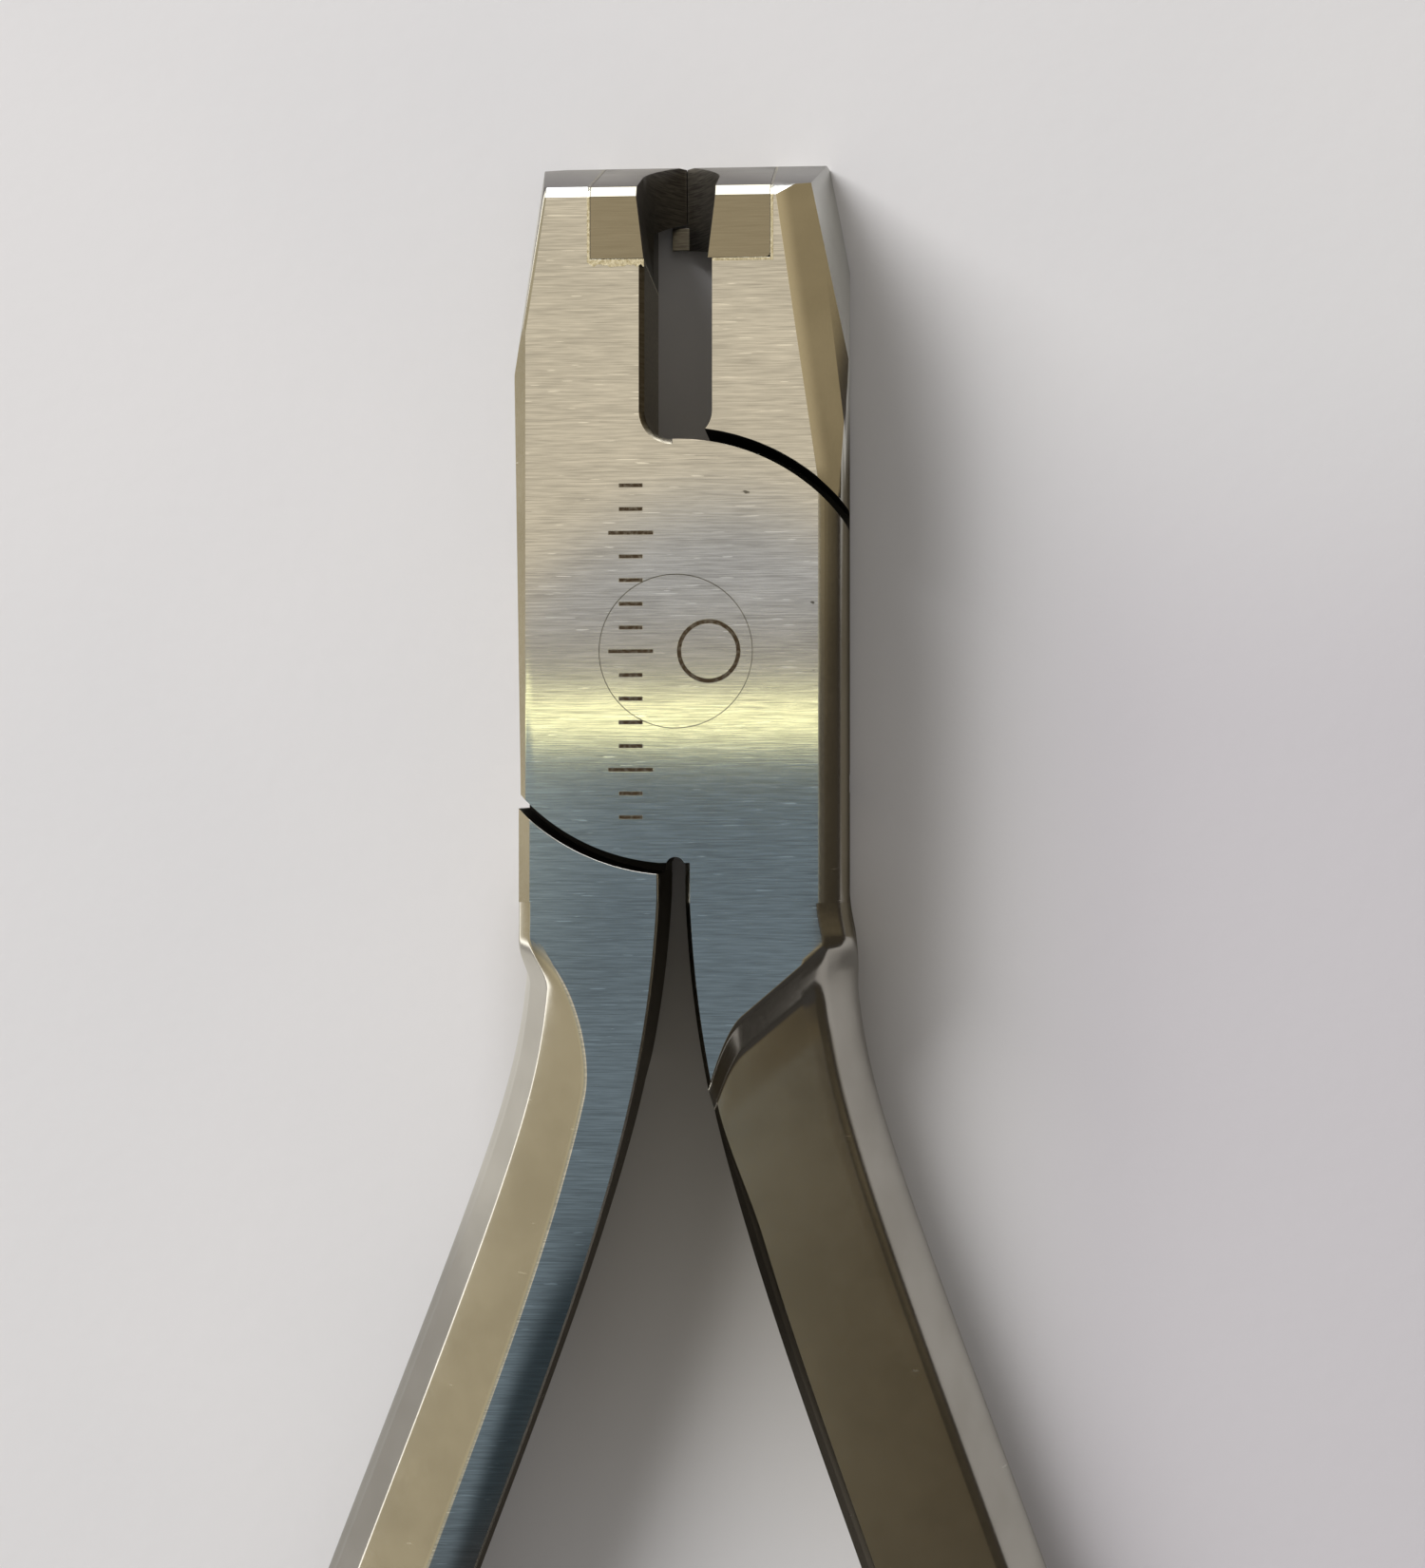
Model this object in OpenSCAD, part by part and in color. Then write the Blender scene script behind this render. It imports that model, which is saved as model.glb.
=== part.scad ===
// End-cutting pliers with a screwed lap joint, jaws closed.
// The pivot axis is the Z axis, the rear faces lie on Z = 0 and the jaws point along +Y.
// Both halves are one forging: a jaw on one side, a round lap at the pivot, a grip on the other side.

/* [Joint] */
// Thickness of the head, both laps together
head_t = 7.2; // [6:0.1:9]
// Diameter of the round lap on each half
lap_d = 17.9; // [16:0.1:19]
// Gap between a round lap and the shoulder that faces it
shoulder_gap = 0.48; // [0.2:0.02:0.6]
// Pivot axis to the rear half's left side, below the shoulder
left_w = 6.7; // [6.2:0.1:7.2]
// Pivot axis to the widest place on the left jaw
left_jaw_w = 6.88; // [6.5:0.02:7.1]
// Pivot axis to the right side of the right jaw
right_w = 7.3; // [6.8:0.1:7.6]
// Pivot axis to the front half's right side, below the shoulder
front_side_w = 7.3; // [6.9:0.1:7.5]

/* [Screw] */
// Diameter of the flush screw head
screw_head_d = 6.5; // [5.5:0.1:7]
// Thickness of the screw head
screw_head_t = 1.5; // [1:0.1:2]
// Diameter of the shank that the front half turns on
screw_shank_d = 4.8; // [4:0.1:5]
// Diameter of the threaded end in the rear half
screw_thread_d = 3.8; // [3:0.1:3.9]

/* [Jaws] */
// Pivot axis to the furthest point of the nose
nose_y = 22; // [21:0.1:23]
// Pivot axis to the end of the front face
face_y = 19.2; // [18.6:0.1:19.6]
// Pivot axis to the left side of the window between the jaws
left_window_x = 1.34; // [1.2:0.02:1.6]
// Pivot axis to the right side of the window
right_window_x = 1.54; // [1.4:0.02:1.7]
// Radius at the bottom corner of the window
window_r = 1.2; // [0.6:0.1:1.2]
// Pivot axis to the place where the jaws start to narrow
taper_y = 11.4; // [10.5:0.1:12]
// Angle at which the left jaw narrows
left_taper = 8.9; // [6:0.1:10]
// Angle at which the right jaw narrows
right_taper = 11.5; // [8:0.1:12]

/* [Inserts] */
// Pivot axis to the lower end of the hard inserts
insert_y = 16.55; // [16:0.05:17]
// Width of the left insert, from the window's side outwards
left_insert_w = 2.3; // [1.8:0.05:2.5]
// Width of the right insert, from the window's side outwards
right_insert_w = 2.46; // [1.8:0.02:2.5]
// Thickness of the braze seam round an insert
seam_t = 0.12; // [0.08:0.01:0.16]
// Height of the cutting edge above the rear face
edge_z = 0.5; // [0.3:0.05:0.8]
// Half the width of the groove between the inserts, at the end of the front face
groove_x = 1.66; // [1.6:0.02:1.8]
// How far the tongue of the right insert reaches past the cutting edge
tongue_x = 0.66; // [0.3:0.02:0.9]

/* [Grips] */
// Pivot axis to the end of the grips
grip_y = 110; // [100:1:118]
// Width of the front half's grip
front_grip_w = 7.4; // [7:0.1:7.6]
// Width of the rear half's grip
rear_grip_w = 6.3; // [6:0.1:6.8]
// How far the grips' low side lies under the head's face
grip_step = 0.9; // [0.6:0.05:1.2]
// Slope of the long bevel on the front half's flat side
front_bevel_slope = 0.36; // [0.3:0.02:0.4]
// Slope of the long bevel on the rear half's flat side
rear_bevel_slope = 0.52; // [0.3:0.02:0.6]
// Width of the flat strip beside the bevel
strip_w = 2.12; // [1.6:0.02:2.3]
// Thickness that each grip loses towards its end
grip_taper = 1.2; // [0.6:0.1:1.6]

/* [Hidden] */
$fn = 96;

steel = [0.70, 0.69, 0.65];
screw_steel = [0.74, 0.73, 0.70];
insert_metal = [0.55, 0.52, 0.43];
braze = [0.90, 0.88, 0.78];
lap_r = lap_d / 2;
shoulder_r = lap_r + shoulder_gap;
half_t = head_t / 2;
// Running clearances: between the two laps, round the screw, and between the closed edges
lap_clear = 0.03;
screw_clear = 0.05;
edge_clear = 0.01;
// Edges of the head: two opposite long edges are well rounded, the other two have a shallow chamfer
round_r = 1.3;
chamfer = 0.5;
chamfer_z = 0.3;
// Steep chamfer on the inner edge of the grips' low side: narrow at the hip, wide further down
rim_narrow = 0.2;
rim_wide = 0.68;
rim_from = 19;
rim_l = 6;
rim_steep = 1.25;
// Chamfer on the inner edge of the grips' flat side
inner_rim = 0.1;
// Nose in side view: a short front chamfer, then a slope back to a blunt rear edge
nose_chamfer_y = 0.5;
nose_chamfer_z = 0.35;
nose_blunt = 0.8;
// Per jaw: distance to its side and to the window, angle and lean of its taper, width of its insert,
// level that the taper is measured at, and how far its side draws in towards the joint
left_lean = -10.3;
right_lean = 9.7;
draw_in = 0.95;
LEFT_JAW = [left_jaw_w, left_window_x, left_taper, left_lean, left_insert_w, head_t, draw_in];
RIGHT_JAW = [right_w, right_window_x, right_taper, right_lean, right_insert_w, 0, 0];
// One edge of the taper has a shallow bevel
jaw_bevel_angle = 22;
jaw_bevel_x = 1.2;
jaw_bevel_y = 6.5;
jaw_bevel_turn = 8.4;
// Corner relief where the lap's lower edge meets the grip
relief_r = 0.4;
relief_drop = 0.12;
// Groove between the inserts: its sides turn by this angle, and below this height each is a ground hollow
groove_turn = 6.9;
hollow_z = 4.2;
wheel_r = (pow(groove_x, 2) + pow(hollow_z - edge_z, 2)) / (2 * groove_x);
// Angles at which the inserts' lower ends rise towards the cutting edge
left_undercut = 24;
right_undercut = 15;
// Tongue on the right insert, which holds the wire's cut end
tongue_end = 19.35;
tongue_l = 1;
tongue_t = 0.6;
// Slack for cutters that pass right through, and the size of those that take off a whole side
over = 1;
reach = 40;

// Inner edge of a grip: it leaves the head almost straight, flares out, then turns back at the end
grip_lean = -0.11;
flare_at = 15.8;
flare_soft = 13;
return_at = 70;
return_slope = 0.44;
return_soft = 26;
grip_root = 10;
waist = 0.55;
waist_at = 17;
waist_l = 8;
// Per half: start of the inner edge, slope of the flare, width, distance to the head's side,
// swell of the hip, height at which the outer side is widest, slope of the bevel
FRONT_GRIP = [0.38, 0.557, front_grip_w, front_side_w, 0.16, 3, front_bevel_slope];
REAR_GRIP = [0.69, 0.578, rear_grip_w, left_w, 0, 4, rear_bevel_slope];
swell_at = 12.7;
swell_l = 2.1;

// The head's full thickness ends on an oblique line through this point; beyond it a ramp leads down
end_x = 6.1;
end_y = 12.5;
end_slope = 0.86;
ramp_l = 1.35;
// Near the inner edge the line curls down
curl_x = 2.8;
curl = 0.95;
// The low side falls gently towards its outer edge
low_slope = 0.05;
low_l = 3;
// The bevel's inner edge bends outwards above this distance below the pivot
crease_y = 18.8;
crease_bend = 0.42;
crease_l = 2;
crease_power = 1.6;
// Least distance between the bevel's two edges, at the hip
bevel_least = 0.3;
// Shares of the grip's width at which its top edge and its bevel's edge run
top_edge = 0.785;
bevel_edge = 0.77;
// Points on the side between them, as shares of the way out and of the way to the widest height
UPPER_SIDE = [[0.45, 0.33], [0.8, 0.68]];
LOWER_SIDE = [0.7, 0.52];
TOP_STEPS = 12;
round_in = round_r * (1 - cos(45));
hip_start = 12;
hip_l = 2.4;
root_l = 4;
tip_r = 4.5;
tip_bluntness = 0.6;
taper_from = 45;
// The grip's root starts inside the head, a hair inside its faces, so that the two fuse cleanly
root_y = 9.6;
block_y = 10.6;
neck_y = 10.7;
inset = 0.02;

function mix(a, b, t) = a + (b - a) * t;
function ease(t) = let (c = min(1, max(0, t))) c * c * (3 - 2 * c);
function bend(u, at, slope, soft) = slope / 2 * (u - at + sqrt((u - at) * (u - at) + soft * soft));
function bend_slope(u, at, slope, soft) =
    slope / 2 * (1 + (u - at) / sqrt((u - at) * (u - at) + soft * soft));
function drift(u, g) =
    grip_lean * u + bend(u, flare_at, g[1], flare_soft) - bend(u, return_at, return_slope, return_soft);
function inner_x(u, g) = g[0] + drift(u, g) - drift(grip_root, g);
function grip_slope(u, g) =
    grip_lean + bend_slope(u, flare_at, g[1], flare_soft)
    - bend_slope(u, return_at, return_slope, return_soft);
function grip_width(u, g) =
    (g[2] - waist / (1 + pow((u - waist_at) / waist_l, 2))) * sqrt(1 + pow(grip_slope(u, g), 2));
function outer_x(u, g) =
    mix(g[3], inner_x(u, g) + grip_width(u, g), ease((u - grip_root) / root_l))
    + g[4] * ease(1 - abs(u - swell_at) / swell_l);

// Distance past the oblique line
function past_end(x, u) =
    (u - end_y - (end_x - x) * end_slope - curl * pow(max(0, curl_x - x), 2))
    / sqrt(1 + end_slope * end_slope);
function thinning(u) = grip_taper / 2 * ease((u - taper_from) / (grip_y - taper_from));

// Low side of the grip: the head's front face, the ramp, then the face of the grip
function top_z(x, u, g) =
    head_t - thinning(u) - grip_step * ease(past_end(x, u) / ramp_l)
    - low_slope * (x - inner_x(u, g)) * ease(past_end(x, u) / low_l);
// Flat side of the grip: a strip level with the rear face, then the long bevel outside this line
function crease_x(u, g) =
    inner_x(u, g) + strip_w + crease_bend * pow(max(0, (crease_y - u) / crease_l), crease_power);

// Section of a grip at distance u below the pivot, as [x, z] points round the section
function section(u, g) =
    let (xi = inner_x(u, g),
         xo = outer_x(u, g),
         w = xo - xi,
         thin = thinning(u),
         hip = ease((u - hip_start) / hip_l),
         rim = mix(rim_narrow, rim_wide, ease((u - rim_from) / rim_l)),
         xt = mix(xo - round_r, xi + top_edge * w, hip),
         xb = mix(xo - chamfer, xi + bevel_edge * w, hip),
         crease = min(crease_x(u, g), xb - bevel_least),
         zt = top_z(xt, u, g),
         zb = thin + hip * g[6] * (xb - crease),
         head_side = [[xo - round_in, zt - round_in], [xo, zt - round_r]])
    concat(
        [[xi, top_z(xi, u, g) - rim * rim_steep]],
        [for (i = [0:TOP_STEPS]) let (x = mix(xi + rim, xt, i / TOP_STEPS)) [x, top_z(x, u, g)]],
        [for (i = [0, 1]) let (s = UPPER_SIDE[i], out = mix(xt, xo, s[0]), down = mix(zt, g[5], s[1]))
            [mix(head_side[i][0], out, hip), mix(head_side[i][1], down, hip)]],
        [[xo, mix(half_t, g[5], hip)],
         [mix(xo, mix(xb, xo, LOWER_SIDE[0]), hip), mix(chamfer_z, mix(zb, g[5], LOWER_SIDE[1]), hip)],
         [xb, zb],
         [crease, thin],
         [xi + inner_rim, thin],
         [xi, thin + inner_rim]]);

// A section drawn in towards its centre, for the root and the rounded end
function centre(s) = [for (k = [0, 1]) (min([for (p = s) p[k]]) + max([for (p = s) p[k]])) / 2];
function shrink(s, f) = let (c = centre(s)) [for (p = s) [mix(c[0], p[0], f), mix(c[1], p[1], f)]];
function inset_section(s, d) =
    let (c = centre(s)) [for (p = s) [p[0] - sign(p[0] - c[0]) * d, p[1] - sign(p[1] - c[1]) * d]];

// Stations as [distance below the pivot, scale of the section]
STATIONS = concat(
    [for (u = [11:0.25:18.5]) [u, 1]],
    [for (u = [19.5:2:grip_y - tip_r - 1]) [u, 1]],
    [for (a = [0:12:84]) [grip_y - tip_r + tip_r * sin(a), pow(cos(a), tip_bluntness)]]);

module grip(g) {
    root = inset_section(section(root_y, g), inset);
    neck = inset_section(section(neck_y, g), inset);
    rings = concat(
        [[for (p = root) [p[0], -root_y, p[1]]]],
        [[for (p = neck) [p[0], -neck_y, p[1]]]],
        [for (s = STATIONS) [for (p = shrink(section(s[0], g), s[1])) [p[0], -s[0], p[1]]]]);
    n = len(root);
    m = len(rings);
    points = [for (ring = rings) each ring];
    walls = [for (j = [0:m - 2], i = [0:n - 1]) let (
        a = j * n + i,
        b = j * n + (i + 1) % n)
        each [[a, b, a + n], [b, b + n, a + n]]];
    caps = [[for (i = [n - 1:-1:0]) i], [for (i = [0:n - 1]) (m - 1) * n + i]];
    polyhedron(points, concat(walls, caps));
}

// Section of the head in the XZ plane, l to the left of the pivot and r to the right
module head_section(l, r) {
    difference() {
        polygon([
            [-l, 0],
            [r - chamfer, 0],
            [r, chamfer_z],
            [r, head_t],
            [-l + chamfer, head_t],
            [-l, head_t - chamfer_z]]);
        difference() {
            translate([-l - over, -over])
                square(round_r + over);
            translate([-l + round_r, round_r])
                circle(round_r);
        }
        difference() {
            translate([r - round_r, head_t - round_r])
                square(round_r + over);
            translate([r - round_r, head_t - round_r])
                circle(round_r);
        }
    }
}

// Section of the grip's root in the XZ plane, from its chamfered inner edge outwards
module root_section(inner, outer) {
    polygon([
        [inner, inner_rim],
        [inner + inner_rim, 0],
        [outer, 0],
        [outer, head_t],
        [inner + rim_narrow, head_t],
        [inner, head_t - rim_narrow * rim_steep]]);
}

module head(l, r) {
    translate([0, nose_y + over, 0])
        rotate([90, 0, 0])
            linear_extrude(nose_y + over + block_y)
                head_section(l, r);
}

// Everything that lies inside the nose's side view
module nose_shape() {
    length = grip_y + over;
    translate([-length / 2, 0, 0])
        rotate([90, 0, 90])
            linear_extrude(length)
                polygon([
                    [-length, -over],
                    [nose_y, -over],
                    [nose_y, nose_blunt],
                    [face_y + nose_chamfer_y, head_t - nose_chamfer_z],
                    [face_y, head_t],
                    [face_y - over, head_t + over],
                    [-length, head_t + over]]);
}

// Material taken off the jaw's outer side, for a jaw on the left
module jaw_taper(jaw) {
    l = jaw[0];
    translate([-l, taper_y, jaw[5]])
        rotate([0, 0, -jaw[2]])
            rotate([0, -jaw[3], 0])
                translate([-reach, -reach / 2, -reach / 2])
                    cube(reach);
    if (jaw[6] > 0)
        translate([-l, taper_y, 0])
            rotate([0, 0, jaw[6]])
                translate([-reach, -reach, -reach / 2])
                    cube(reach);
    translate([-l + jaw_bevel_x, jaw_bevel_y, 0])
        rotate([0, 0, -jaw_bevel_turn])
            rotate([0, jaw_bevel_angle, 0])
                translate([-reach, -nose_y / 2, -reach])
                    cube(reach);
}

// Jaw on the left, lap in the front layer, root of the grip on the right
module head_half(jaw, g) {
    l = jaw[0];
    r = g[3];
    difference() {
        intersection() {
            head(l, r);
            union() {
                cylinder(r = lap_r, h = head_t);
                translate([-l - over, 0, 0])
                    cube([l + over - jaw[1], nose_y + over, head_t]);
                window_corner(jaw[1]);
                rotate([90, 0, 0])
                    linear_extrude(block_y)
                        root_section(g[0] + inset, r + over);
            }
        }
        translate([0, 0, -over])
            cylinder(r = shoulder_r, h = half_t + over + lap_clear / 2);
        translate([g[0] - relief_r, -lap_r - relief_drop, -over])
            cylinder(r = relief_r, h = head_t + 2 * over, $fn = 32);
        jaw_taper(jaw);
        insert_pocket(jaw);
    }
}

// Round corner at the bottom of the window, beside the jaw
module window_corner(x) {
    difference() {
        translate([-x - over, lap_r - over, 0])
            cube([window_r + over, window_r + over, head_t]);
        translate([-x + window_r, lap_r + window_r, -over])
            cylinder(r = window_r, h = head_t + 2 * over);
    }
}

module insert_pocket(jaw) {
    side = jaw[1] + jaw[4] + seam_t;
    translate([-side, insert_y - seam_t, -over])
        cube([side, nose_y, head_t + 2 * over]);
}

module half(jaw, g) {
    union() {
        head_half(jaw, g);
        difference() {
            grip(g);
            translate([0, 0, -over])
                cylinder(r = shoulder_r, h = half_t + over + lap_clear / 2);
        }
    }
}

// Turns a half over, so that its lap comes to lie in the rear layer
module turned_over() {
    translate([0, 0, head_t])
        rotate([0, 180, 0])
            children();
}

// Space between the inserts, as cut from the one on the left
module groove() {
    intersection() {
        translate([-groove_x, face_y, -over])
            rotate([0, 0, groove_turn])
                translate([0, -nose_y, 0])
                    cube([nose_y, 2 * nose_y, head_t + 2 * over]);
        union() {
            translate([wheel_r - groove_x, nose_y + over, hollow_z])
                rotate([90, 0, 0])
                    cylinder(r = wheel_r, h = nose_y);
            translate([-groove_x, 0, hollow_z])
                cube([nose_y, 2 * nose_y, head_t]);
        }
    }
}

// Everything beside the window that lies below the inserts' rising lower ends
module undercut(jaw, angle) {
    translate([-jaw[1], insert_y, head_t])
        rotate([angle, 0, 0])
            translate([0, -nose_y, -2 * head_t])
                cube([nose_y, nose_y, 3 * head_t]);
}

// An insert on the left
module insert_blank(jaw) {
    difference() {
        intersection() {
            translate([-jaw[1] - jaw[4], insert_y, 0])
                cube([jaw[1] + jaw[4] - edge_clear, nose_y, head_t]);
            nose_shape();
        }
        groove();
    }
}

module seam(jaw) {
    x = jaw[1] + jaw[4];
    intersection() {
        union() {
            translate([-x - seam_t, insert_y - seam_t, 0])
                cube([seam_t, nose_y, head_t]);
            translate([-x - seam_t, insert_y - seam_t, 0])
                cube([jaw[4] + seam_t, seam_t, head_t]);
        }
        nose_shape();
    }
}

module front_half() {
    color(steel)
        difference() {
            intersection() {
                half(LEFT_JAW, FRONT_GRIP);
                nose_shape();
            }
            translate([0, 0, -over])
                cylinder(d = screw_shank_d + 2 * screw_clear, h = head_t + 2 * over);
            translate([0, 0, head_t - screw_head_t])
                cylinder(d = screw_head_d + 2 * screw_clear, h = screw_head_t + over);
        }
}

module rear_half() {
    color(steel)
        difference() {
            intersection() {
                turned_over()
                    half(RIGHT_JAW, REAR_GRIP);
                nose_shape();
            }
            translate([0, 0, -over])
                cylinder(d = screw_thread_d, h = half_t + 2 * over);
        }
}

module joint_screw() {
    color(screw_steel)
        union() {
            cylinder(d = screw_thread_d, h = half_t);
            translate([0, 0, half_t])
                cylinder(d = screw_shank_d, h = half_t - screw_head_t + screw_clear);
            translate([0, 0, head_t - screw_head_t + screw_clear])
                cylinder(d = screw_head_d, h = screw_head_t - screw_clear);
        }
}

// The left insert's lower end rises steeply, which leaves room for the other insert's tongue
module left_insert() {
    color(insert_metal)
        difference() {
            insert_blank(LEFT_JAW);
            undercut(LEFT_JAW, left_undercut);
        }
}

module right_insert() {
    color(insert_metal)
        difference() {
            union() {
                mirror([1, 0, 0])
                    insert_blank(RIGHT_JAW);
                translate([-tongue_x, tongue_end - tongue_l, 0])
                    cube([tongue_x + left_window_x / 2, tongue_l, tongue_t]);
            }
            mirror([1, 0, 0])
                undercut(RIGHT_JAW, right_undercut);
        }
}

module left_braze() {
    color(braze)
        seam(LEFT_JAW);
}

module right_braze() {
    color(braze)
        mirror([1, 0, 0])
            seam(RIGHT_JAW);
}

front_half();
rear_half();
joint_screw();
left_insert();
right_insert();
left_braze();
right_braze();
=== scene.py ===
import math
import random
from collections import namedtuple

import bmesh
import bpy
import numpy as np
from mathutils import Matrix, Vector


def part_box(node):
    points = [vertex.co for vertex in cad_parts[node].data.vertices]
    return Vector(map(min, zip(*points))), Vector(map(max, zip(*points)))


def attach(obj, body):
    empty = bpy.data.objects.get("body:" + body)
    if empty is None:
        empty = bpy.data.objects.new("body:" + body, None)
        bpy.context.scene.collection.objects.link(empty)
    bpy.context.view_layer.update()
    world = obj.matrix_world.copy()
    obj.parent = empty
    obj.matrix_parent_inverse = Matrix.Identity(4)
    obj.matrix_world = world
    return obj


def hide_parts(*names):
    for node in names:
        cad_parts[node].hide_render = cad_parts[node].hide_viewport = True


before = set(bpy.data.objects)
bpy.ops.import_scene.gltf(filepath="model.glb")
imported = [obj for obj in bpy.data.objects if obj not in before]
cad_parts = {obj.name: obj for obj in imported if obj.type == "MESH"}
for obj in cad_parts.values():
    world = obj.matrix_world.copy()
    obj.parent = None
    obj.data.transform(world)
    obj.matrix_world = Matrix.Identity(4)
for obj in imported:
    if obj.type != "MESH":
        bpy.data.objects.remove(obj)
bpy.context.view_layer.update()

# Everything below is worked out in millimetres in the row's frame: the pivot axis is Z, the rear
# faces lie on Z = 0 and the jaws point along +Y. Meshes are scaled to metres when they are made.
MM = 0.001


def box_mm(node):
    low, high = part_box(node)
    return [c / MM for c in low], [c / MM for c in high]


# ---------------------------------------------------------------- sizes
(LEFT_X, GRIP_END, _), (_, NOSE_Y, HEAD_T) = box_mm("front_half")
RIGHT_W = box_mm("rear_half")[1][0]
REAR_SIDE_W = 6.7
GRIP_Y = -GRIP_END
SCREW_R = box_mm("joint_screw")[1][0]
INSERT_Y = box_mm("left_insert")[0][1]
SEAM_T = INSERT_Y - box_mm("left_braze")[0][1]
HALF_T = HEAD_T / 2

LAP_R = 8.95
SHOULDER_R = 9.43
FRONT_SIDE_W = 7.3
LAP_CLEAR = 0.03
SCREW_CLEAR = 0.008
SHANK_R = 2.4
THREAD_R = 1.9
SCREW_HEAD_T = 1.5
EDGE_CLEAR = 0.01
EDGE_Z = 0.5
ROUND_R = 1.3
# The shallow long edges of the head and of the grips: width and depth
CHAMFER, CHAMFER_Z = 0.5, 0.3
WINDOW_R = 1.2
WINDOW_CHAMFER = 0.22
WINDOW_HALF = 1.7
RELIEF_R = 0.4
RELIEF_DROP = 0.12
FACE_Y = 19.2
NOSE_CHAMFER_Y, NOSE_CHAMFER_Z = 0.5, 0.35
NOSE_BLUNT = 0.8
TAPER_Y = 11.4
# Distances of a jaw's side, of its side of the window and of the far side of its insert from the pivot axis,
# angle and lean of its tapered side, and the height at which that taper starts
Jaw = namedtuple("Jaw", "side window taper lean insert level")
LEFT_JAW = Jaw(-LEFT_X, -box_mm("left_braze")[1][0], 8.9, -10.3, -box_mm("left_insert")[0][0], HEAD_T)
RIGHT_JAW = Jaw(RIGHT_W, box_mm("right_braze")[0][0], 11.5, 9.7, box_mm("right_insert")[1][0], 0)
# The left side of the head draws in slightly from the jaw down to the joint
DRAW_IN = 0.95
BEVEL_START = (1.2, 6.5)
BEVEL_TURN, BEVEL_TILT = 8.4, 22
BEVEL_IN = 0.235
GROOVE_X, GROOVE_TURN, HOLLOW_Z = 1.66, 6.9, 4.2
WHEEL_R = (GROOVE_X ** 2 + (HOLLOW_Z - EDGE_Z) ** 2) / (2 * GROOVE_X)
LEFT_UNDERCUT, RIGHT_UNDERCUT = 24, 15
TONGUE_X, TONGUE_END, TONGUE_L, TONGUE_T = 0.66, 19.35, 1.0, 0.6
# Width of the fine rounding on the head's worked edges, and on the small hard parts
SOFT_EDGE = 0.10
HARD_EDGE = 0.03
EDGE_SEGMENTS = 3
# Round lower corner of the right insert
CORNER_R = 0.22
# How little a braze seam stands proud, how far the left one runs out at its lower edge, and how deep that is
PROUD = 0.004
RAGGED = 0.26
RAGGED_T = 0.35
SEED = 12
SHOULDER_EDGE = 0.20
TAPER_EDGE = 0.18
BEVEL_EDGE_R = 0.08
# Worn facet where the right jaw's bevel meets its side
FACET_START = (0.56, 12.59, 0.62)
FACET_TURN, FACET_TILT = 7.6, 40
# Middle of the edge between the right jaw's bevel and the front face, and how far that edge reaches from it
BEVEL_MID, BEVEL_REACH = (5.1, 13.3), (0.6, 2.5)
# Edges over the first angle are shaded as sharp, and edges over the second one are too acute to be rounded
LEFT_SHARP = 40
KNIFE_ANGLE = 105

# Grips: the inner edge leaves the head almost straight, flares out, then turns back near the end
GRIP_LEAN = -0.11
FLARE_AT, FLARE_SOFT = 15.8, 13.0
RETURN_AT, RETURN_SLOPE, RETURN_SOFT = 70.0, 0.44, 26.0
GRIP_ROOT, ROOT_L = 10.0, 4.0
WAIST, WAIST_AT, WAIST_L = 0.55, 17.0, 8.0
# Per half: start of the inner edge, slope of the flare, width, side of the head, swell of the hip, height at
# which the outer side is widest, slope of the bevel
Grip = namedtuple("Grip", "start flare width side swell widest bevel")
FRONT_GRIP = Grip(0.38, 0.557, 7.4, FRONT_SIDE_W, 0.16, 3.0, 0.36)
REAR_GRIP = Grip(0.69, 0.578, 6.3, REAR_SIDE_W, 0.0, 4.0, 0.52)
SWELL_AT, SWELL_L = 12.7, 2.1
GRIP_STEP = 0.9
BEVEL_BULGE = 0.05
INNER = 0.1
ROLL, ROLL_FROM, ROLL_L = 0.06, 22.0, 12.0
STRIP_Z = 0.75
STRIP_W = 2.12
GRIP_TAPER = 1.2
TAPER_FROM = 45.0
# The head's full thickness ends on an oblique line that curls down near the inner edge
END_X, END_Y, END_SLOPE = 6.1, 12.5, 0.86
CURL_X, CURL = 2.8, 0.95
RAMP_L, RAMP_SOFT = 1.35, 0.18
CREASE_Y, CREASE_BEND, CREASE_L, CREASE_POWER = 18.8, 0.42, 2.0, 1.6
TOP_EDGE, BEVEL_EDGE = 0.785, 0.77
LOW_SLOPE, LOW_BEND = 0.05, 0.001
HIP_START, HIP_L = 12.0, 2.4
SIDE_START, SIDE_L = 12.0, 1.7
# Steep chamfer on the inner edge of the grips' low side: narrow at the hip, wide further down
RIM_NARROW, RIM_WIDE, RIM_FROM, RIM_L, RIM_STEEP = 0.2, 0.68, 19.0, 6.0, 1.25
TIP_R = 4.5
# A grip starts inside the head, slightly narrower than it, and leaves it at BLOCK_Y below the pivot
ROOT_Y = 9.6
BLOCK_Y = 10.6
INSET = 0.02
# Number of points across the four long faces of a grip, and the rounding of its edges
TOP_STEPS, SIDE_STEPS, BEVEL_STEPS, STRIP_STEPS = 40, 8, 18, 14
EDGE_R, TOP_EDGE_R = 0.10, 0.6


# ---------------------------------------------------------------- meshes
def new_object(name, points, faces):
    """A mesh object from points in millimetres."""
    mesh = bpy.data.meshes.new(name)
    mesh.from_pydata([tuple(float(c) * MM for c in p) for p in points], [], faces)
    mesh.validate()
    made = bpy.data.objects.new(name, mesh)
    bpy.context.scene.collection.objects.link(made)
    return made


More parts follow.
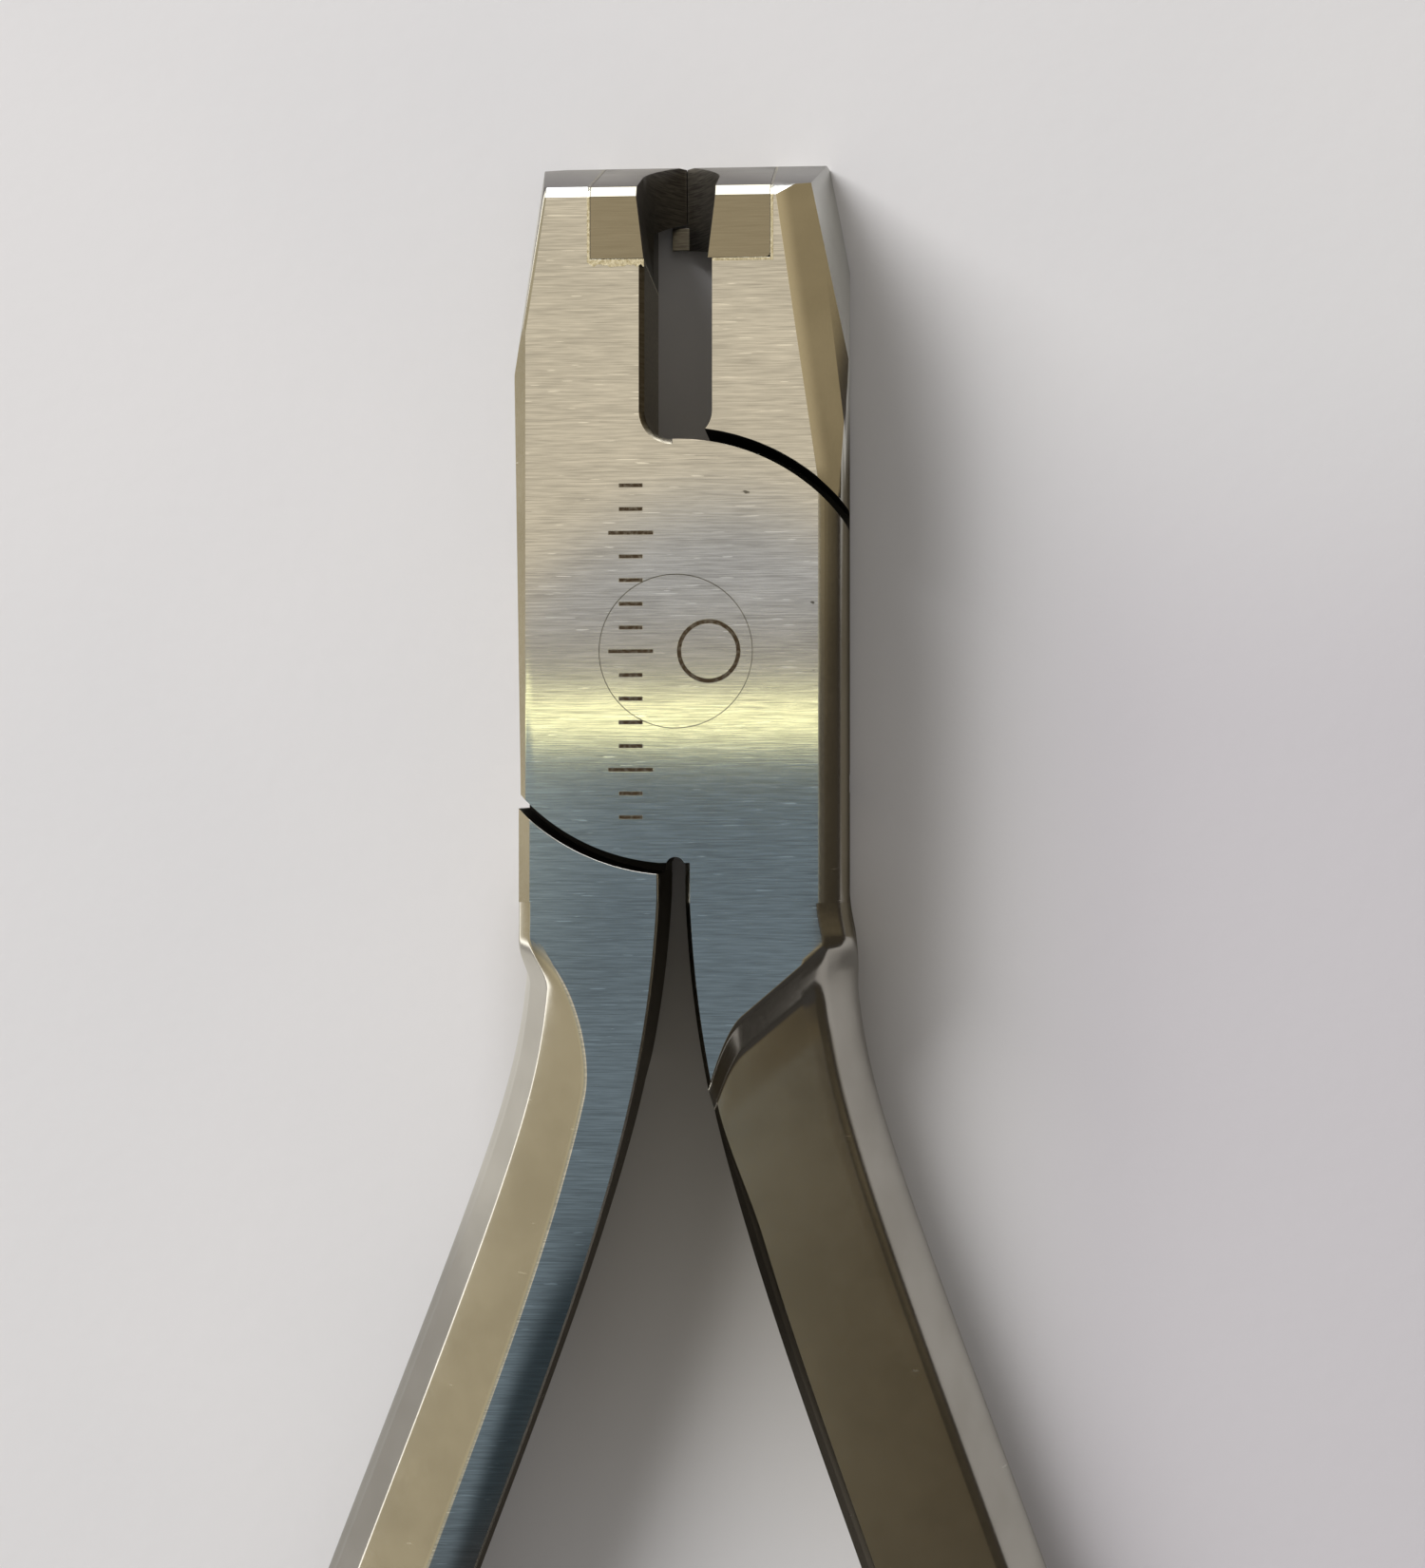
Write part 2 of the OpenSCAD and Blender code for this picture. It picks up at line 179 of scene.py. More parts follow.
def edit(obj, work):
    """Runs work(bmesh) on an object's mesh."""
    bm = bmesh.new()
    bm.from_mesh(obj.data)
    work(bm)
    bm.to_mesh(obj.data)
    bm.free()
    obj.data.update()
    return obj


def outward(obj):
    return edit(obj, lambda bm: bmesh.ops.recalc_face_normals(bm, faces=bm.faces))


def stack(name, rings):
    """A closed solid through rings of equal length."""
    n = len(rings[0])
    points = [p for ring in rings for p in ring]
    faces = [list(range(n))[::-1]]
    for j in range(len(rings) - 1):
        for i in range(n):
            k = (i + 1) % n
            faces.append([j * n + i, j * n + k, (j + 1) * n + k, (j + 1) * n + i])
    faces.append([(len(rings) - 1) * n + i for i in range(n)])
    return outward(new_object(name, points, faces))


def prism_z(outline, low, high):
    return stack("tool", [[(x, y, z) for x, y in outline] for z in (low, high)])


def prism_y(section, low, high):
    return stack("tool", [[(x, y, z) for x, z in section] for y in (low, high)])


def prism_x(section, low, high):
    return stack("tool", [[(x, y, z) for y, z in section] for x in (low, high)])


def arc(cx, cy, r, start, end, step=2.0):
    n = max(2, int(abs(end - start) / step) + 1)
    return [(cx + r * math.cos(math.radians(a)), cy + r * math.sin(math.radians(a)))
            for a in np.linspace(start, end, n)]


def turned(profile, cx=0.0, cy=0.0, count=180):
    """A solid of revolution round an axis along Z. profile is [(r, z), ...] and starts and ends at r = 0."""
    inner = [p for p in profile if p[0] > 0]
    rings = [[(cx + r * math.cos(2 * math.pi * i / count), cy + r * math.sin(2 * math.pi * i / count), z)
              for i in range(count)] for r, z in inner]
    return stack("tool", rings)


def cylinder(r, low, high, cx=0.0, cy=0.0, count=180):
    return turned([(r, low), (r, high)], cx, cy, count)


def boolean(target, tool, operation):
    """Joins, cuts or keeps with a tool solid, which is then thrown away."""
    mod = target.modifiers.new("boolean", "BOOLEAN")
    mod.operation, mod.object, mod.solver = operation, tool, "EXACT"
    done = bpy.data.meshes.new_from_object(target.evaluated_get(bpy.context.evaluated_depsgraph_get()))
    target.modifiers.remove(mod)
    old, target.data = target.data, done
    bpy.data.meshes.remove(old)
    bpy.data.objects.remove(tool)
    return target


def half_space(name, turn):
    """A big slab whose top face passes through the origin of the matrix turn."""
    size = 60
    corners = [(-size, -size, -size), (size, -size, -size), (size, size, -size), (-size, size, -size)]
    low = [turn @ Vector(c) for c in corners]
    high = [turn @ Vector((c[0], c[1], 0)) for c in corners]
    return stack(name, [low, high])


# ---------------------------------------------------------------- the grips
def ease(t):
    c = np.clip(t, 0, 1)
    return c * c * (3 - 2 * c)


def mix(a, b, t):
    return a + (b - a) * t


def bend(u, at, slope, soft):
    return slope / 2 * (u - at + np.sqrt((u - at) ** 2 + soft ** 2))


def bend_slope(u, at, slope, soft):
    return slope / 2 * (1 + (u - at) / np.sqrt((u - at) ** 2 + soft ** 2))


def drift(u, g):
    flare = bend(u, FLARE_AT, g.flare, FLARE_SOFT)
    return GRIP_LEAN * u + flare - bend(u, RETURN_AT, RETURN_SLOPE, RETURN_SOFT)


def inner_x(u, g):
    return g.start + drift(u, g) - drift(GRIP_ROOT, g)


def grip_slope(u, g):
    return GRIP_LEAN + bend_slope(u, FLARE_AT, g.flare, FLARE_SOFT) - bend_slope(
        u, RETURN_AT, RETURN_SLOPE, RETURN_SOFT)


def outer_x(u, g):
    width = (g.width - WAIST / (1 + ((u - WAIST_AT) / WAIST_L) ** 2)) * np.sqrt(1 + grip_slope(u, g) ** 2)
    swell = g.swell * ease(1 - np.abs(u - SWELL_AT) / SWELL_L)
    return mix(g.side, inner_x(u, g) + width, ease((u - GRIP_ROOT) / ROOT_L)) + swell


def ramp(t):
    """Rises from 0 to 1 in a straight line, with both ends rounded."""
    c = np.clip(t, 0, 1)
    steep = 1 / (1 - RAMP_SOFT)
    first, last = c ** 2 / (2 * RAMP_SOFT), 1 / steep - (1 - c) ** 2 / (2 * RAMP_SOFT)
    return steep * np.where(c < RAMP_SOFT, first, np.where(c > 1 - RAMP_SOFT, last, c - RAMP_SOFT / 2))


def end_line(x):
    return END_Y + (END_X - x) * END_SLOPE + CURL * np.maximum(0, CURL_X - x) ** 2


def past_end(x, u):
    return (u - end_line(x)) / math.sqrt(1 + END_SLOPE ** 2)


def thinning(u):
    return GRIP_TAPER / 2 * ease((u - TAPER_FROM) / (GRIP_Y - TAPER_FROM))


def top_z(x, u):
    return HEAD_T - GRIP_STEP * ramp(past_end(x, u) / RAMP_L) - thinning(u)


def low_slope(x, u, xi):
    """The low side falls gently towards its outer edge."""
    across = x - xi
    return (LOW_SLOPE * across + LOW_BEND * across ** 2) * ease(past_end(x, u) / 3)


def crease_x(u, g):
    """Inner edge of the long bevel on the flat side."""
    return inner_x(u, g) + STRIP_W + CREASE_BEND * (np.maximum(0, CREASE_Y - u) / CREASE_L) ** CREASE_POWER


def fillet(before, corner, after, r, steps=5):
    """Rounds a corner: points of a short curve between the two sides. All are (stations, 2) arrays."""
    def toward(p):
        d = p - corner
        length = np.linalg.norm(d, axis=1, keepdims=True)
        return corner + d / length * np.minimum(r, 0.45 * length)
    a, b = toward(before), toward(after)
    return [a * (1 - t) ** 2 + 2 * corner * t * (1 - t) + b * t ** 2 for t in np.linspace(0, 1, steps)]


def curve(p0, p1, p2, p3, steps):
    """Inner points of a cubic curve."""
    ts = np.linspace(0, 1, steps + 2)[1:-1]
    return [p0 * (1 - t) ** 3 + 3 * p1 * t * (1 - t) ** 2 + 3 * p2 * t ** 2 * (1 - t) + p3 * t ** 3
            for t in ts]


def grip_section(u, g):
    """Rings of [x, z] round the grip at distances u below the pivot."""
    def pair(x, z):
        return np.stack([x + 0 * u, z + 0 * u], axis=1)

    def top(x):
        return top_z(x, u) - low_slope(x, u, xi)

    def bevel(t):
        x = mix(xb, crease, t)
        return pair(x, thin + hip * (g.bevel * (x - crease) - 4 * BEVEL_BULGE * t * (1 - t)))

    def strip(t):
        roll = ROLL * ease((u - ROLL_FROM) / ROLL_L) * t * t
        return pair(mix(crease, xi + INNER, t), thin + roll)

    xi, xo = inner_x(u, g), outer_x(u, g)
    w = xo - xi
    hip = ease((u - HIP_START) / HIP_L)
    side = ease((u - SIDE_START) / SIDE_L)
    rim = mix(RIM_NARROW, RIM_WIDE, ease((u - RIM_FROM) / RIM_L))
    thin = thinning(u)
    xt = mix(xo - ROUND_R, xi + TOP_EDGE * w, hip)
    xb = mix(xo - CHAMFER, xi + BEVEL_EDGE * w, hip)
    crease = np.minimum(crease_x(u, g), xb - 0.3)
    zt = top(xt)
    zw = mix(HALF_T, g.widest, side)
    tops = [pair(x, top(x)) for x in (mix(xi + rim, xt, t) for t in np.linspace(0, 1, TOP_STEPS))]
    bevels = [bevel(t) for t in np.linspace(0, 1, BEVEL_STEPS)]
    strips = [strip(t) for t in np.linspace(0, 1, STRIP_STEPS)]
    wall_top, wall_low = pair(xi, top_z(xi, u) - rim * RIM_STEEP), strips[-1] + pair(-INNER, INNER)
    edge, widest = pair(xt, zt), pair(xo, zw)
    shoulder = pair(xo, mix(HEAD_T - ROUND_R, zw + 0.2, side))
    low_side = pair(mix(xo, mix(xb, xo, 0.7), hip), mix(CHAMFER_Z, mix(bevels[0][:, 1], zw, 0.52), hip))
    # Next to the head these handles make a quarter circle of radius ROUND_R, further down a flatter curve
    from_edge = pair(mix(0.55 * ROUND_R, 0.26 * (xo - xt), side), mix(0, -0.26 * (zt - zw), side))
    to_shoulder = pair(0, mix(0.55 * ROUND_R, 0.25 * (zt - zw), side))
    upper = curve(edge, edge + from_edge, shoulder + to_shoulder, shoulder, SIDE_STEPS)
    lower = curve(widest, widest - pair(0, mix(0.9, 0.4, hip)),
                  low_side + pair(mix(0, 0.1, hip), mix(0.7, 0.4, hip)), low_side, SIDE_STEPS)

    ring = [wall_top] + tops[:-6]
    ring += fillet(tops[-7], edge, upper[3], mix(EDGE_R, TOP_EDGE_R, hip)[:, None], 7)
    ring += upper[2:] + [shoulder, widest] + lower[:-1]
    ring += fillet(lower[-2], low_side, bevels[0], EDGE_R)
    ring += fillet(low_side, bevels[0], bevels[3], EDGE_R)
    ring += bevels[2:-1] + strips + [wall_low]
    return np.stack(ring, axis=1)


def grip(g):
    """The grip of a half whose lap is in the front layer, as a closed solid. Near the hip its rings are swept
    along the oblique end of the head, so that their edges follow it."""
    dense = np.concatenate([np.arange(ROOT_Y, 26, 0.02), np.arange(26, GRIP_Y - TIP_R + 0.3, 0.25)])
    rings = grip_section(dense, g)
    sweep_end, fade = 28, 14
    stations = np.concatenate([
        [BLOCK_Y + 0.005], np.arange(10.75, END_Y - 0.05, 0.11), END_Y + np.array([-0.02, 0, 0.012, 0.03]),
        np.arange(END_Y + 0.06, END_Y + 1.2, 0.05), np.arange(END_Y + 1.25, 16.5, 0.09),
        np.arange(16.6, sweep_end, 0.22), np.arange(sweep_end + 0.4, GRIP_Y - TIP_R - 0.3, 0.9),
        [GRIP_Y - TIP_R]])
    inner_limit = 1.4
    swept = []
    for t in stations:
        share = ease((t - BLOCK_Y) / 1.6) * ease((sweep_end - t) / fade)
        row = []
        for k in range(rings.shape[1]):
            x = rings[:, k, 0]
            shift = end_line(np.clip(x, inner_limit, END_X)) - END_Y
            u = np.interp(0, dense - share * shift - t, dense)
            row.append((np.interp(u, dense, x), -u, np.interp(u, dense, rings[:, k, 1])))
        swept.append(row)

    def scaled(u, f, inset):
        ring = grip_section(np.array([u]), g)[0]
        centre = (ring.min(axis=0) + ring.max(axis=0)) / 2
        away = ring - centre
        away = (away - np.sign(away) * inset) * f
        return [(x, z) for x, z in centre + away]

    root = [[(x, -u, z) for x, z in scaled(u, 1, INSET)] for u in (ROOT_Y, BLOCK_Y - 0.005)]
    tip = []
    for lift in np.linspace(4, 86, 20):
        u = GRIP_Y - TIP_R + TIP_R * math.sin(math.radians(lift))
        tip.append([(x, -u, z) for x, z in scaled(u, math.cos(math.radians(lift)) ** 0.6, 0)])
    return stack("grip", root + swept + tip)


# ---------------------------------------------------------------- the head
def head_section(left, right):
    """Section of the head in the XZ plane: two opposite edges well rounded, two chamfered."""
    low = arc(-left + ROUND_R, ROUND_R, ROUND_R, 180, 270, 6)
    high = arc(right - ROUND_R, HEAD_T - ROUND_R, ROUND_R, 0, 90, 6)
    return (low + [(right - CHAMFER, 0), (right, CHAMFER_Z)] + high
            + [(-left + CHAMFER, HEAD_T), (-left, HEAD_T - CHAMFER_Z)])


def nose_shape():
    reach = GRIP_Y + 5
    return prism_x([(-reach, -1), (NOSE_Y, -1), (NOSE_Y, NOSE_BLUNT),
                    (FACE_Y + NOSE_CHAMFER_Y, HEAD_T - NOSE_CHAMFER_Z), (FACE_Y, HEAD_T),
                    (FACE_Y - 1, HEAD_T + 1), (-reach, HEAD_T + 1)], -40, 40)


def head_outline(jaw, g):
    """Jaw on the left, round lap at the pivot, root of the grip on the right."""
    left, window = jaw.side, jaw.window
    corner = math.degrees(math.acos((-window + WINDOW_R) / LAP_R))
    root_x = g.start + INSET
    foot = math.degrees(math.asin(root_x / LAP_R))
    return ([(-left - 2, NOSE_Y + 1), (-left - 2, -0.01)]
            + arc(0, 0, LAP_R, 180, 270 + foot, 1.5)
            + [(root_x, -BLOCK_Y), (LAP_R, -BLOCK_Y)]
            + arc(0, 0, LAP_R, 0, corner, 1.5)
            + arc(-window + WINDOW_R, LAP_R + WINDOW_R, WINDOW_R, 270, 180, 6)
            + [(-window, NOSE_Y + 1)])


def turn(degrees, axis):
    return Matrix.Rotation(math.radians(degrees), 4, axis)


def head(jaw, g):
    left = jaw.side
    made = prism_y(head_section(left, g.side), -BLOCK_Y, NOSE_Y + 1)
    boolean(made, prism_z(head_outline(jaw, g), -1, HEAD_T + 1), "INTERSECT")
    boolean(made, cylinder(SHOULDER_R, -1, HALF_T + LAP_CLEAR / 2), "DIFFERENCE")
    relief = cylinder(RELIEF_R, -1, HEAD_T + 1, g.start - RELIEF_R, -LAP_R - RELIEF_DROP, 40)
    boolean(made, relief, "DIFFERENCE")
    for rim, depth, face, way in ((INNER, INNER, 0, -1), (RIM_NARROW, RIM_NARROW * RIM_STEEP, HEAD_T, 1)):
        wedge = [(g.start + rim + 1, face + way * (1 + depth * (rim + 1) / rim - depth)),
                 (g.start + INSET + rim, face), (g.start + INSET, face - way * depth),
                 (g.start - 1, face - way * depth * (1 + 1 / rim)), (g.start - 1, face + way * 9)]
        boolean(made, prism_y(wedge, -BLOCK_Y - 1, -LAP_R + 0.03), "DIFFERENCE")
    side = (Matrix.Translation((-left, TAPER_Y, jaw.level)) @ turn(-jaw.taper, "Z") @ turn(-jaw.lean, "Y")
            @ turn(90, "Y"))
    boolean(made, half_space("tool", side), "DIFFERENCE")
    if jaw.level:
        drawn = Matrix.Translation((-left, TAPER_Y, 0)) @ turn(DRAW_IN, "Z") @ turn(90, "Y")
        boolean(made, half_space("tool", drawn), "DIFFERENCE")
    cuts = [((BEVEL_START[0], BEVEL_START[1], 0), BEVEL_TURN, BEVEL_TILT)]
    if not jaw.level:
        cuts.append((FACET_START, FACET_TURN, FACET_TILT))
    for (x, y, z), swing, tilt in cuts:
        under = Matrix.Translation((x - left, y, z)) @ turn(-swing, "Z") @ turn(tilt, "Y")
        slab = stack("tool", [[under @ Vector(c) for c in
                               ((-12, -10, z), (1, -10, z), (1, 30, z), (-12, 30, z))] for z in (-10, 0)])
        boolean(made, slab, "DIFFERENCE")
    pocket_x, pocket_y = -jaw.insert - SEAM_T, INSERT_Y - SEAM_T
    pocket = [(pocket_x, pocket_y), (1, pocket_y), (1, 40), (pocket_x, 40)]
    boolean(made, prism_z(pocket, -2, HEAD_T + 2), "DIFFERENCE")
    return made


def soften(obj, width, least_angle=28, where=lambda co: True, segments=EDGE_SEGMENTS):
    """Rounds the sharp edges of a mesh, other than knife edges."""
    def chosen(e):
        angle = math.degrees(e.calc_face_angle(0)) if e.is_manifold else 0
        return least_angle < angle < KNIFE_ANGLE and where((e.verts[0].co + e.verts[1].co) / 2 / MM)

    def work(bm):
        bmesh.ops.remove_doubles(bm, verts=bm.verts, dist=2e-7)
        bmesh.ops.dissolve_limit(bm, angle_limit=math.radians(0.4), verts=bm.verts, edges=bm.edges)
        sharp = [e for e in bm.edges if chosen(e)]
        bmesh.ops.bevel(bm, geom=sharp, offset=width * MM, offset_type="OFFSET", segments=segments,
                        profile=0.5, affect="EDGES", clamp_overlap=True)
        bmesh.ops.recalc_face_normals(bm, faces=bm.faces)
    return edit(obj, work)


def on_shoulder(co):
    level = co.z < 0.01 or co.z > HEAD_T - 0.01
    return level and abs(math.hypot(co.x, co.y) - SHOULDER_R) < 0.02


def on_left_taper(co):
    line = -LEFT_JAW.side + math.tan(math.radians(LEFT_JAW.taper)) * (co.y - TAPER_Y)
    return co.z > HEAD_T - 0.4 and co.y > TAPER_Y and abs(co.x - line) < 0.12


def on_right_bevel(co):
    beside, along = abs(co.x - BEVEL_MID[0]), abs(co.y - BEVEL_MID[1])
    return beside < BEVEL_REACH[0] and along < BEVEL_REACH[1] and co.z > HEAD_T - 0.02


def cut_window_chamfer(obj):
    """Chamfer along the left jaw's window and round the window's corner."""
    side, c = LEFT_JAW.window, WINDOW_CHAMFER
    section = [(-side - c - 1, HEAD_T + 1), (-side + 1, HEAD_T - c - 1), (-side + 1, HEAD_T + 1)]
    centre = (-side + WINDOW_R, LAP_R + WINDOW_R)
    boolean(obj, prism_y(section, centre[1], NOSE_Y + 1), "DIFFERENCE")
    cone = turned([(WINDOW_R - 0.5, HEAD_T - c - 0.5), (WINDOW_R + c + 0.5, HEAD_T + 0.5)], *centre)
    corner = [(-side - 1, LAP_R - 1), (centre[0], LAP_R - 1), centre, (-side - 1, centre[1])]
    boolean(obj, boolean(cone, prism_z(corner, 0, HEAD_T + 1), "INTERSECT"), "DIFFERENCE")


def turn_over(obj):
    """Turns a half over, so that its lap comes to lie in the rear layer."""
    obj.data.transform(Matrix.Translation((0, 0, HEAD_T * MM)) @ Matrix.Rotation(math.pi, 4, "Y"))
    return obj


def mark_sharp(bm):
    for e in bm.edges:
        e.smooth = not (e.is_manifold and e.calc_face_angle(0) > math.radians(LEFT_SHARP))


FLAT, SATIN, GAP, WINDOW = 0, 1, 2, 3


def paint(obj):
    """Level faces at the front and rear and the flat strips on the grips get the brushed material, the faces
    between the halves the dark one of painted shade, the window's walls their own darker one, also painted
    shade, and all others the satin one. Edges left sharp are shaded so."""
    for face in obj.data.polygons:
        c = face.center / MM
        level = abs(face.normal.z) > 0.9995
        reach = math.hypot(c.x, c.y)
        along = abs(face.normal.x * c.x + face.normal.y * c.y) / max(reach, 0.1)
        strip = abs(face.normal.z) > 0.99 and c.y < -CREASE_Y + 2 and not STRIP_Z < c.z < HEAD_T - STRIP_Z
        if strip or level and not 0.02 < c.z < HEAD_T - 0.02:
            face.material_index = FLAT
        elif abs(reach - (LAP_R + SHOULDER_R) / 2) < 0.3 and abs(face.normal.z) < 0.2 and along > 0.9:
            face.material_index = GAP
        elif level and abs(c.z - HALF_T) < 0.1:
            face.material_index = GAP
        elif abs(c.x) < WINDOW_HALF and LAP_R - 1 < c.y < INSERT_Y and not level:
            face.material_index = WINDOW
        else:
            face.material_index = SATIN
        face.use_smooth = True

    edit(obj, mark_sharp)


def half(name, jaw, g, turned_over, bores):
    made = head(jaw, g)
    if turned_over:
        turn_over(made)
    boolean(made, nose_shape(), "INTERSECT")
    for r, low, high in bores:
        boolean(made, cylinder(r, low, high), "DIFFERENCE")
    if not turned_over:
        cut_window_chamfer(made)
    soften(made, SHOULDER_EDGE, 60, on_shoulder, 4)
    if turned_over:
        soften(made, BEVEL_EDGE_R, 18, on_right_bevel, 3)
    else:
        soften(made, TAPER_EDGE, 60, on_left_taper, 4)
    soften(made, SOFT_EDGE, where=lambda co: co.y > -BLOCK_Y + 0.3 and co.x ** 2 + co.y ** 2 > 4 ** 2)
    handle = grip(g)
    if turned_over:
        turn_over(handle)
    boolean(made, handle, "UNION")
    edit(made, lambda bm: bmesh.ops.remove_doubles(bm, verts=bm.verts, dist=1e-6))
    made.name = made.data.name = name
    return made


def insert(name, jaw, undercut, tongue):
    """A hard insert, for a jaw on the left: its hollow side faces the groove and its lower end rises steeply
    towards the cutting edge. That end is cut last, so that its edges stay sharp. With a tongue the insert is
    turned round to the right."""
    side = jaw.insert
    blank = [(-side, INSERT_Y), (-EDGE_CLEAR, INSERT_Y), (-EDGE_CLEAR, NOSE_Y), (-side, NOSE_Y)]
    made = prism_z(blank, 0, HEAD_T)
    if tongue:
        corner = Matrix.Translation((-side + CORNER_R, INSERT_Y + CORNER_R, 0))
        bit = [(-CORNER_R - 1, -CORNER_R - 1), (0, -CORNER_R - 1)] + arc(0, 0, CORNER_R, 270, 180, 10) + [
            (-CORNER_R - 1, 0)]
        bit = [tuple(corner @ Vector((x, y, 0)))[:2] for x, y in bit]
        boolean(made, prism_z(bit, -1, HEAD_T + 1), "DIFFERENCE")
    boolean(made, nose_shape(), "INTERSECT")
    hollow_x = WHEEL_R - GROOVE_X
    section = arc(hollow_x, HOLLOW_Z, WHEEL_R, 180, 270, 1.52)
    groove = prism_y(section + [(hollow_x, HEAD_T + 1), (-GROOVE_X, HEAD_T + 1)], 0, NOSE_Y + 1)
    swing = Matrix.Translation((-GROOVE_X, FACE_Y, 0)) @ turn(GROOVE_TURN, "Z")
    corners = [(0, -NOSE_Y), (NOSE_Y, -NOSE_Y), (NOSE_Y, NOSE_Y), (0, NOSE_Y)]
    slab = stack("tool", [[swing @ Vector((x, y, z)) for x, y in corners] for z in (-1, HEAD_T + 2)])
    boolean(made, boolean(groove, slab, "INTERSECT"), "DIFFERENCE")
    if tongue:
        root_x, start = -LEFT_JAW.window / 2, TONGUE_END - TONGUE_L
        bar = [(root_x, start), (TONGUE_X, start), (TONGUE_X, TONGUE_END), (root_x, TONGUE_END)]
        boolean(made, prism_z(bar, 0, TONGUE_T), "UNION")
    soften(made, HARD_EDGE, segments=2)
    rise = math.tan(math.radians(undercut))
    below = [(INSERT_Y - 5, HEAD_T + 1), (INSERT_Y - rise, HEAD_T + 1),
             (INSERT_Y + (HEAD_T + 1) * rise, -1), (INSERT_Y - 5, -1)]
    boolean(made, prism_x(below, -jaw.window, NOSE_Y), "DIFFERENCE")
    if tongue:
        made.data.transform(Matrix.Scale(-1, 4, (1, 0, 0)))
        outward(made)
    made.name = made.data.name = name
    return made


def seam(name, jaw, turned_round, ragged):
    """The braze round an insert: a strip beside it and one below, whose lower edge may be ragged."""
    outer, inner, top = -jaw.insert - SEAM_T, -jaw.insert, NOSE_Y
    low = INSERT_Y - SEAM_T
    foot = [(x, low - ragged * (0.35 + 0.65 * random.random()) * min(1, 4 * (x - outer)))
            for x in np.linspace(outer, -jaw.window, 18)]
    inside = [(-jaw.window, INSERT_Y), (inner, INSERT_Y), (inner, top), (outer, top)]
    made = prism_z(foot + inside, HEAD_T - RAGGED_T if ragged else 0, HEAD_T + PROUD)
    if ragged:
        plain = [(outer, low), (-jaw.window, low)] + inside
        boolean(made, prism_z(plain, 0, HEAD_T), "UNION")
    boolean(made, nose_shape(), "INTERSECT")
    if turned_round:
        made.data.transform(Matrix.Scale(-1, 4, (1, 0, 0)))
        outward(made)
    soften(made, HARD_EDGE / 2, segments=1)
    made.name = made.data.name = name
    return made


def screw(name):
    """Thread, shank and head, with a chamfer at the rear end and a fine one round the head."""
    under = HEAD_T - SCREW_HEAD_T + LAP_CLEAR
    made = turned([(THREAD_R - SOFT_EDGE, 0), (THREAD_R, SOFT_EDGE), (THREAD_R, HALF_T), (SHANK_R, HALF_T),
                   (SHANK_R, under), (SCREW_R, under), (SCREW_R, HEAD_T - HARD_EDGE),
                   (SCREW_R - HARD_EDGE, HEAD_T)])
    made.name = made.data.name = name
    return made


def even_normals(obj):
    """Lets the large faces decide the shading, so that fine roundings don't darken the flats beside them."""
    mod = obj.modifiers.new("even_normals", "WEIGHTED_NORMAL")
    mod.mode = "FACE_AREA_WITH_ANGLE"
    mod.weight = 60
    mod.keep_sharp = True


